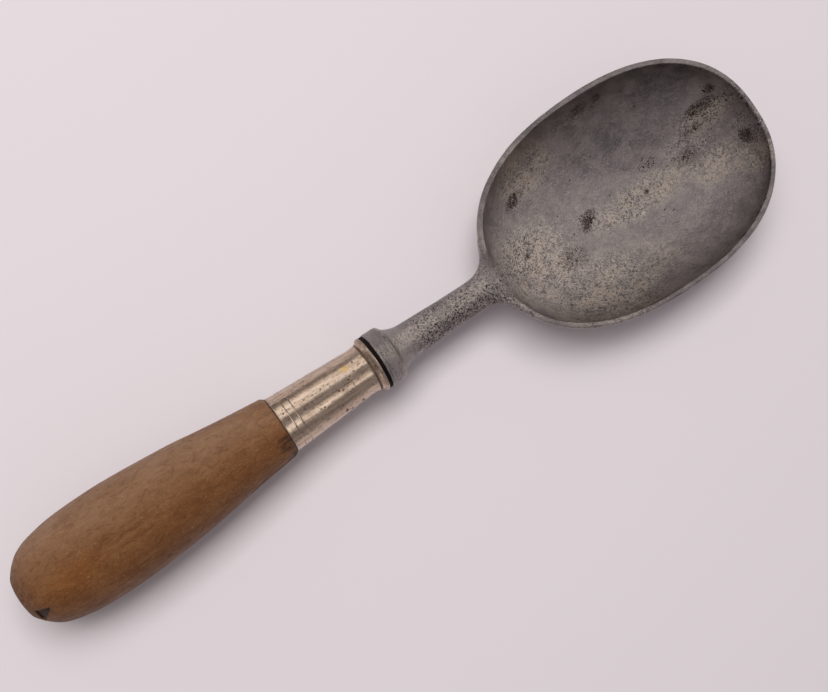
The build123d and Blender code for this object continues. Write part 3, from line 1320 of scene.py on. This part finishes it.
@dataclass
class Casting:
    """Collar, neck and bowl in one skin of cross-sections from the collar to the tip."""

    collar_radius: float = 9.6
    collar_length: float = 5.8
    collar_round: float = 1.3
    blend_length: float = 4.6
    root_radius: float = 6.1
    slim_radius: float = 5.3
    slim_place: float = 160.5
    heel: float = 172.1
    flare_start: float = 162.0
    flare_end: float = 174.5
    flare_reach: float = 8.7
    flare_power: float = 4.0
    flare_blend: float = 1.3
    heel_dip: float = 0.63
    heel_blend: float = 1.6
    least_wall: float = 1.2
    heel_fade: tuple[float, float] = (198.0, 184.0)
    heel_width: tuple[float, float] = (11.5, 3.0)
    heel_lead: float = 4.0
    merge_start: float = 162.0
    merge_end: float = 176.0
    keel_start: float = 164.0
    keel_curve: float = 0.022
    under_blend: float = 3.0
    skin_blend: float = 0.5
    outer_rise: float = 90.0
    rim_width: float = 1.8
    rim_round: float = 0.75
    rim_at_heel: float = 21.6
    rim_at_tip: float = 26.4
    widest_from_heel: float = 56.4
    squareness: float = 2.32
    floor: float = 2.2
    fullness: float = 1.8
    roundness: float = 0.6
    lean: float = 1.5
    foot: float = 0.2
    top_steps: int = 216
    under_steps: int = 84
    bowl_steps: int = 224
    halvings: int = 26
    finish: CastAluminium = CastAluminium()

    def __post_init__(self) -> None:
        """Works out the widest place and the half width of the bowl."""
        self.widest = self.heel + self.widest_from_heel
        self.half_width = PLACES.bowl_half_width

    def rim_plane(self, x: np.ndarray) -> np.ndarray:
        """Height of the rim at a distance from the butt."""
        share = (x - self.heel) / (PLACES.tip - self.heel)
        return self.rim_at_heel + share * (self.rim_at_tip - self.rim_at_heel)

    def reach(self, x: np.ndarray, middle: Any, inset: float) -> np.ndarray:
        """Length of the egg from its widest place to its heel or tip, on the side of x.

        Args:
            x: Distance from the butt.
            middle: Widest place of the egg.
            inset: How far the egg lies inside the outline.

        Returns:
            The length at each point.
        """
        to_heel = self.widest_from_heel - inset
        to_tip = PLACES.tip - self.widest - inset
        return np.where(x > middle, to_tip, to_heel)

    def gauge(self, x: np.ndarray, y: np.ndarray, middle: Any, inset: float) -> np.ndarray:
        """Size of the squarish egg through each point, 1 on the egg at the given inset.

        Args:
            x: Distance from the butt.
            y: Distance from the middle line.
            middle: Widest place of the egg.
            inset: How far the egg lies inside the outline.

        Returns:
            The size at each point.
        """
        n = self.squareness
        along = np.abs((x - middle) / self.reach(x, middle, inset))
        across = np.abs(y / (self.half_width - inset))
        return (along ** n + across ** n) ** (1.0 / n)

    def level(self, x: np.ndarray, y: np.ndarray, inset: float) -> np.ndarray:
        """How deep the bowl is at each point, from 0 at the rim to 1 at the floor.

        Args:
            x: Distance from the butt.
            y: Distance from the middle line.
            inset: 0 for the outside of the bowl, the wall's thickness for the inside.

        Returns:
            The level of each point, found by halving.
        """
        low = np.zeros(np.broadcast(x, y).shape)
        high = np.ones_like(low)
        for _ in range(self.halvings):
            mid = 0.5 * (low + high)
            taper = (1.0 - mid ** self.fullness) ** self.roundness
            size = self.foot + (1.0 - self.foot) * taper
            inside = self.gauge(x, y, self.widest + self.lean * mid ** 1.5, inset) < size
            low = np.where(inside, mid, low)
            high = np.where(inside, high, mid)
        return 0.5 * (low + high)

    def half_breadth(self, x: np.ndarray) -> np.ndarray:
        """Half width of the outline of neck and bowl at each distance from the butt.

        Args:
            x: Distance from the butt.

        Returns:
            The half width.
        """
        along = np.clip(np.abs((x - self.widest) / self.reach(x, self.widest, 0.0)), 0.0, 1.0)
        oval = self.half_width * (1.0 - along ** self.squareness) ** (1.0 / self.squareness)
        oval = np.where((x < self.heel) | (x >= PLACES.tip), 0.0, oval)
        spread = np.clip((x - self.flare_start) / (self.flare_end - self.flare_start), 0.0, 1.0)
        flare = self.slim_radius + self.flare_reach * spread ** self.flare_power
        flare = np.where(x > self.widest, 0.0, flare)
        return soft_upper(oval, flare, self.flare_blend)

    def upper(self, x: np.ndarray, y: np.ndarray, turn: np.ndarray) -> np.ndarray:
        """Height of the top skin: neck, rim and the inside of the bowl.

        Args:
            x: Distance from the butt.
            y: Distance from the middle line.
            turn: Share of the height of a round section, 0 at its sides.

        Returns:
            The height at each point.
        """
        rim = self.rim_plane(x)
        heel = smoothstep(*self.heel_fade, x) * smoothstep(*self.heel_width, np.abs(y))
        r = self.rim_round
        edge = np.minimum(self.rim_edge(x, y) + heel * r, r)
        bead = rim - (r - np.sqrt(np.maximum(r ** 2 - (r - edge) ** 2, 0.0)))
        neck = PLACES.axis_height + self.slim_radius * turn
        high = neck + (bead - neck) * self.merged(x)
        level = self.level(x, y, self.rim_width)
        inside = rim + level * (self.floor - rim)
        size = self.gauge(x, y, self.widest, self.rim_width)
        inside = inside + np.maximum(size - 1.0, 0.0) * self.outer_rise
        past_heel = soft_upper(x - self.heel + self.heel_lead, 0.0, 3.0)
        high = high - self.heel_dip * heel * past_heel
        return soft_lower(high, inside, self.skin_blend + self.heel_blend * heel)

    def merged(self, x: np.ndarray) -> np.ndarray:
        """Share of the way from the round neck to the flat rim."""
        return smoothstep(self.merge_start, self.merge_end, x)

    def rim_edge(self, x: np.ndarray, y: np.ndarray) -> np.ndarray:
        """Distance in from the outline of the bowl, no more than the rounding of the rim.

        Args:
            x: Distance from the butt.
            y: Distance from the middle line.

        Returns:
            The distance at each point.
        """
        n = self.squareness
        length = self.reach(x, self.widest, 0.0)
        u = (x - self.widest) / length
        v = y / self.half_width
        size = np.maximum((np.abs(u) ** n + np.abs(v) ** n) ** (1.0 / n), 1e-6)
        slope_u = np.sign(u) * np.abs(u) ** (n - 1) * size ** (1 - n) / length
        slope_v = np.sign(v) * np.abs(v) ** (n - 1) * size ** (1 - n) / self.half_width
        slope = np.maximum(np.hypot(slope_u, slope_v), 1e-6)
        return np.clip((1.0 - size) / slope, 0.0, self.rim_round)

    def under(self, x: np.ndarray, y: np.ndarray, turn: np.ndarray) -> np.ndarray:
        """Height of the bottom skin: neck, fairing and the outside of the bowl.

        Args:
            x: Distance from the butt.
            y: Distance from the middle line.
            turn: Share of the depth of a round section, 0 at its sides.

        Returns:
            The height at each point.
        """
        start = self.rim_plane(x) - self.rim_round
        level = self.level(x, y, 0.0)
        shell = start * (1.0 - level)
        edge = PLACES.axis_height + (start - PLACES.axis_height) * self.merged(x)
        rise = self.keel_curve * np.maximum(x - self.keel_start, 0.0) ** 2
        keel = PLACES.axis_height - self.slim_radius + rise
        neck = edge + (keel - edge) * turn
        return soft_lower(shell, neck, self.under_blend * turn)

    def stations(self) -> Outline:
        """Round sections of the collar and the neck, as distance and radius.

        Returns:
            The sections.
        """
        start = PLACES.collar
        end = start + self.collar_length
        r = self.collar_radius
        back = [(start, 0.0), (start, 3.0), (start, 6.0), (start, r - 0.5)]
        back += corner((start + 0.22, r - 0.22), 0.22, 180.0, 90.0, 4)
        flat = straight((start + 0.5, r), (end - self.collar_round, r), 0.35)
        centre = (end - self.collar_round, r - self.collar_round)
        front = corner(centre, self.collar_round, 90.0, 22.0, 7)
        blend = curve_through(
            [
                front[-1],
                (end + 0.9, r - 1.9),
                (end + 2.4, self.root_radius + 0.75),
                (end + self.blend_length, self.root_radius),
                (end + self.blend_length + 5.0, self.root_radius - 0.28),
                (147.5, 5.55),
                (154.0, 5.36),
                (self.slim_place, self.slim_radius),
            ],
            0.5,
        )
        return back + flat + front[:-1] + blend

    def rings(self) -> tuple[np.ndarray, int]:
        """All cross-sections from the collar to the tip.

        Returns:
            The points, section by section, and how many points a section has.
        """
        top = np.linspace(-math.pi / 2, math.pi / 2, self.top_steps + 1)
        low = np.linspace(math.pi / 2, -math.pi / 2, self.under_steps + 1)[1:-1]
        side = np.concatenate([np.sin(top), np.sin(low)])
        turn = np.concatenate([np.cos(top), np.cos(low)])
        is_top = np.arange(len(side)) <= self.top_steps
        rows = []
        for x, r in self.stations():
            up = np.where(is_top, r * turn, -r * turn)
            rows.append(np.column_stack([np.full(len(side), x), r * side, PLACES.axis_height + up]))
        angles = np.linspace(0.0, math.pi, self.bowl_steps + 1)[1:]
        span = PLACES.tip - self.slim_place
        for x in self.slim_place + span * (1.0 - np.cos(angles)) / 2:
            xs = np.full(len(side), x)
            ys = float(self.half_breadth(np.array(x))) * side
            skin = self.upper(xs, ys, turn)
            wall = self.least_wall * np.minimum(2.5 * turn, 1.0)
            zs = np.where(is_top, skin, np.minimum(self.under(xs, ys, turn), skin - wall))
            rows.append(np.column_stack([xs, ys, zs]))
        return np.concatenate(rows), len(side)

    def build(self, shop: Workshop) -> bpy.types.Object:
        """Skins, marks and dresses the casting.

        Args:
            shop: The shared trees and steps.

        Returns:
            The finished casting.
        """
        material = self.finish.material()
        points, count = self.rings()
        points[:, 0] += PLACES.butt
        faces = []
        for row in range(len(points) // count - 1):
            a, b = row * count, (row + 1) * count
            for i in range(count):
                j = (i + 1) % count
                faces.append((a + i, b + i, b + j, a + j))
        piece = shop.place("cast_bowl", points, faces)
        self.seal(piece)
        shop.mark(piece, Mark.PITTING, self.pitting)
        shop.mark(piece, Mark.GRIME_AND_SHADE, self.grime_and_shade)
        shop.mark(piece, Mark.BRIGHT_PATCHES_AND_HIGHLIGHT, self.bright_patches_and_highlight)
        shop.mark(piece, Mark.DARK_MARKS_AND_SHADE, self.dark_marks_and_shade)
        shop.mark(piece, Mark.TURNED, self.turned)
        shop.weather(piece, material, pits_per_square_metre=330000.0, pit_radius=0.00034,
                     pit_depth=0.00012, squash=(1.0, 1.0, 1.0), unevenness=0.0005,
                     waves_per_metre=55.0, seed=21)
        shop.finish(piece, "bowl_casting", Slot.ALUMINIUM)
        return piece

    @staticmethod
    def seal(piece: bpy.types.Object) -> None:
        """Merges the points at the tip and in the middle of the collar's back.

        Args:
            piece: The skinned casting.
        """
        mesh = bmesh.new()
        mesh.from_mesh(piece.data)
        bmesh.ops.remove_doubles(mesh, verts=mesh.verts, dist=1e-7)
        bmesh.ops.recalc_face_normals(mesh, faces=mesh.faces)
        mesh.to_mesh(piece.data)
        mesh.free()

    def patches(self, p: np.ndarray, found: Sequence[tuple[float, ...]]) -> np.ndarray:
        """Strongest of several soft round patches.

        Args:
            p: Points to judge.
            found: Each patch as its place along and across, its reach along and across, and
                its strength.

        Returns:
            The strength at each point.
        """
        strength = np.zeros(len(p))
        for x, y, long, wide, most in found:
            apart = np.hypot((p[:, 0] - x) / long, (p[:, 1] - y) / wide)
            strength = np.maximum(strength, most * (1.0 - smoothstep(0.25, 1.0, apart)))
        return strength

    def turned(self, p: np.ndarray) -> np.ndarray:
        """Where the lathe left its rings: on the collar."""
        end = PLACES.collar + self.collar_length
        return smoothstep(end + 0.3, end - 0.5, p[:, 0])

    def pitting(self, p: np.ndarray) -> np.ndarray:
        """Where pits are thick: low on the neck, at the heel and towards the tip's left side.

        Args:
            p: Points, as x from the butt, y and z in millimetres.

        Returns:
            The share at each point.
        """
        low = smoothstep(2.5, -3.0, p[:, 1])
        neck = smoothstep(136.0, 143.0, p[:, 0]) * smoothstep(182.0, 168.0, p[:, 0])
        neck = neck * (0.62 + 0.38 * low)
        zones = self.patches(p, (
            (188.0, 0.0, 20.0, 14.0, 0.62), (200.0, 24.0, 13.0, 10.0, 0.55),
            (195.0, 18.8, 5.0, 4.0, 0.8), (217.6, -0.3, 7.0, 5.0, 0.85),
            (200.0, -14.0, 22.0, 16.0, 0.42), (271.0, 8.5, 13.0, 8.0, 0.8),
            (276.5, -5.0, 6.0, 12.0, 0.75), (262.0, 2.0, 16.0, 10.0, 0.5),
            (230.0, 32.0, 18.0, 5.0, 0.5), (242.0, -3.2, 8.0, 4.0, 0.55),
        ))
        return np.maximum.reduce([neck, zones, np.full(len(p), 0.12)])

    def grime_and_shade(self, p: np.ndarray) -> np.ndarray:
        """Dark clusters in the bowl, and painted shade in the corner inside the rim.

        Args:
            p: Points, as x from the butt, y and z in millimetres.

        Returns:
            The strength at each point.
        """
        rim = self.rim_plane(p[:, 0])
        size = self.gauge(p[:, 0], p[:, 1], self.widest, self.rim_width)
        skin = rim + self.level(p[:, 0], p[:, 1], self.rim_width) * (self.floor - rim)
        inside = smoothstep(1.1, 0.7, np.abs(p[:, 2] - skin)) * smoothstep(0.99, 0.96, size)
        clusters = self.patches(p, (
            (217.6, -0.3, 4.6, 2.6, 0.80), (215.6, -2.2, 2.6, 2.2, 0.80),
            (219.6, 1.6, 3.4, 2.0, 0.62), (195.0, 18.8, 3.6, 2.4, 0.70),
            (197.0, 20.4, 2.8, 1.8, 0.58), (192.6, 17.4, 2.4, 1.8, 0.5),
            (241.8, -3.2, 1.6, 1.2, 0.85), (269.0, 11.0, 6.0, 3.2, 0.66),
            (273.5, 14.5, 3.0, 2.4, 0.7), (265.0, 6.0, 4.5, 2.6, 0.5),
            (275.6, -6.0, 2.4, 4.2, 0.70), (189.9, 1.1, 1.8, 1.4, 0.7),
            (230.6, 32.6, 5.5, 2.0, 0.6), (238.0, 32.6, 3.0, 1.8, 0.5),
            (259.0, -1.0, 7.0, 4.0, 0.42), (247.0, 5.0, 6.0, 4.0, 0.40),
            (205.0, -8.0, 9.0, 6.0, 0.36),
        )) * inside
        # painted shade: a dark line in the corner just inside the rim
        depth = rim - p[:, 2]
        line = smoothstep(0.05, 0.30, depth) * smoothstep(1.6, 0.7, depth) * (size < 1.015)
        line = line * smoothstep(180.0, 192.0, p[:, 0]) * 0.62
        return np.maximum(clusters, line)

    def bright_patches_and_highlight(self, p: np.ndarray) -> np.ndarray:
        """Warm, bright patches in the bowl, a painted highlight along the neck's crest and a
        painted highlight line at the collar's front edge.

        Args:
            p: Points, as x from the butt, y and z in millimetres.

        Returns:
            The share at each point.
        """
        zones = self.patches(p, (
            (203.0, 26.0, 18.0, 11.0, 1.0), (192.0, -3.0, 22.0, 22.0, 0.95),
            (206.0, -24.0, 34.0, 18.0, 0.95), (240.0, -4.0, 34.0, 9.0, 0.95),
            (266.0, -9.0, 14.0, 9.0, 0.95), (274.0, -13.0, 8.0, 9.0, 0.8),
            (270.0, 7.0, 12.0, 7.0, 0.8), (222.0, -24.0, 26.0, 13.0, 0.55),
        ))
        top = smoothstep(9.0, 16.0, p[:, 2]) * smoothstep(178.0, 165.0, p[:, 0])
        # painted highlight along the crest of the neck
        neck = 0.6 * top * smoothstep(-3.0, 0.0, p[:, 1]) * smoothstep(4.6, 2.6, p[:, 1])
        # painted highlight line at the collar's front edge
        collar_edge = PLACES.collar + self.collar_length - 0.7
        edge = 1.3 * np.exp(-((p[:, 0] - collar_edge) / 0.5) ** 2)
        return np.maximum.reduce([zones, neck, edge, np.full(len(p), 0.10)])

    def dark_marks_and_shade(self, p: np.ndarray) -> np.ndarray:
        """Darker patches on the left wall of the bowl, with painted shade along the rim and on both
        flanks of the neck.

        Args:
            p: Points, as x from the butt, y and z in millimetres.

        Returns:
            The share at each point.
        """
        zones = self.patches(p, (
            (236.0, 20.0, 26.0, 13.0, 0.74), (246.0, 12.0, 26.0, 9.0, 0.66),
            (260.0, 25.0, 22.0, 13.0, 0.70), (252.0, 33.0, 30.0, 7.0, 0.5),
            (262.0, -24.0, 20.0, 9.0, 0.25), (176.0, -4.0, 12.0, 5.0, 0.15),
        ))
        # painted shade along the rim and just below it
        rim = 0.72 * smoothstep(1.4, 0.5, self.rim_plane(p[:, 0]) - p[:, 2])
        rim = rim * smoothstep(174.0, 184.0, p[:, 0])
        # painted shade on both flanks of the neck, where the lamps' reflection falls
        low = 0.38 * smoothstep(1.0, -4.0, p[:, 1]) + 0.50 * smoothstep(2.8, 4.8, p[:, 1])
        low = low * smoothstep(174.0, 166.0, p[:, 0]) * (p[:, 0] > 137.0)
        return np.maximum.reduce([zones, rim, low])


@dataclass
class Tang:
    """Steel rod inside the handle and the neck, which keeps its CAD shape."""

    finish: TangSteel = TangSteel()

    def build(self) -> None:
        """Dresses the CAD node."""
        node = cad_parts["tang"]
        node.data.materials.clear()
        node.data.materials.append(self.finish.material())
        LOG.info("tang: CAD shape kept")


# ---------------------------------------------------------------- table, light and camera


@dataclass(frozen=True)
class Lamp:
    """Soft rectangular lamp aimed at the spoon."""

    name: str
    place: Triple
    aim: Triple
    size: float
    watts: float
    shape: float = 1.0
    colour: Triple = (1.0, 0.98, 0.96)
    lights_diffuse: bool = True
    lights_glossy: bool = True

    def build(self) -> None:
        """Hangs the lamp."""
        data = bpy.data.lights.new(self.name, "AREA")
        data.shape = "RECTANGLE"
        data.size = self.size
        data.size_y = self.size * self.shape
        data.energy = self.watts
        data.color = self.colour
        lamp = bpy.data.objects.new(self.name, data)
        lamp.location = self.place
        lamp.visible_diffuse = self.lights_diffuse
        lamp.visible_glossy = self.lights_glossy
        way = Vector(self.aim) - Vector(self.place)
        lamp.rotation_euler = way.to_track_quat("-Z", "Y").to_euler()
        bpy.context.scene.collection.objects.link(lamp)


@dataclass(frozen=True)
class Studio:
    """Pale table, soft light from the far side and a hand-held camera over the spoon."""

    aim_from_butt: float = 139.0
    aim_side: float = -2.54
    distance: float = 350.0
    lean_back: float = 11.96
    lean_side: float = 0.86
    roll: float = -33.27
    lens: float = 47.83
    sensor: float = 36.0
    lamps: tuple[Lamp, ...] = (
        Lamp("window", (-0.06, 0.46, 1.22), (0.01, 0.0, 0.0), 1.1, 13.0, 0.55,
             lights_glossy=False),
        Lamp("window_glow", (-0.02, 0.57, 0.61), (0.01, 0.0, 0.0), 0.72, 1.6,
             lights_diffuse=False),
        Lamp("side_glow", (0.05, -0.38, 0.74), (0.01, 0.0, 0.0), 0.36, 0.45,
             lights_diffuse=False),
        Lamp("far_glow", (0.84, 0.02, 0.60), (0.08, 0.0, 0.0), 0.9, 2.6,
             lights_diffuse=False),
    )
    sky: Triple = (0.62, 0.58, 0.59)
    sky_strength: float = 0.46
    table_half: float = 3.0
    paper: TablePaper = TablePaper()

    def build_table(self) -> None:
        """Lays the table."""
        half = self.table_half
        mesh = bpy.data.meshes.new("table")
        corners = [(-half, -half, 0.0), (half, -half, 0.0), (half, half, 0.0), (-half, half, 0.0)]
        mesh.from_pydata(corners, [], [(0, 1, 2, 3)])
        mesh.materials.append(self.paper.material())
        table = bpy.data.objects.new("table", mesh)
        bpy.context.scene.collection.objects.link(table)

    def build_light(self) -> None:
        """Sets the lamps and the light of the room."""
        for lamp in self.lamps:
            lamp.build()
        world = bpy.data.worlds.new("room")
        world.use_nodes = True
        background = world.node_tree.nodes["Background"]
        background.inputs["Color"].default_value = (*self.sky, 1.0)
        background.inputs["Strength"].default_value = self.sky_strength
        bpy.context.scene.world = world
        bpy.context.scene.view_settings.view_transform = "Standard"

    def build_camera(self) -> None:
        """Sets the camera over the spoon, leaning towards the butt."""
        back = Vector((-math.tan(math.radians(self.lean_back)),
                       math.tan(math.radians(self.lean_side)), 1.0)).normalized()
        roll = math.radians(self.roll)
        right = Vector((math.cos(roll), math.sin(roll), 0.0))
        right = (right - back * right.dot(back)).normalized()
        up = back.cross(right)
        aim = Vector((PLACES.butt + self.aim_from_butt, self.aim_side, PLACES.axis_height)) * MM
        data = bpy.data.cameras.new("camera")
        data.lens = self.lens
        data.sensor_width = self.sensor
        data.clip_start = 0.01
        camera = bpy.data.objects.new("camera", data)
        turn = Matrix((right, up, back)).transposed().to_4x4()
        camera.matrix_world = Matrix.Translation(aim + back * self.distance * MM) @ turn
        bpy.context.scene.collection.objects.link(camera)
        bpy.context.scene.camera = camera

    def build(self) -> None:
        """Builds the table, the light and the camera."""
        self.build_table()
        self.build_light()
        self.build_camera()


def main() -> None:
    """Builds every piece of the spoon and the studio around it."""
    shop = Workshop()
    Handle().build(shop)
    Ferrule().build(shop)
    Washer().build(shop)
    Casting().build(shop)
    Tang().build()
    Studio().build()


if __name__ == "__main__":
    main()
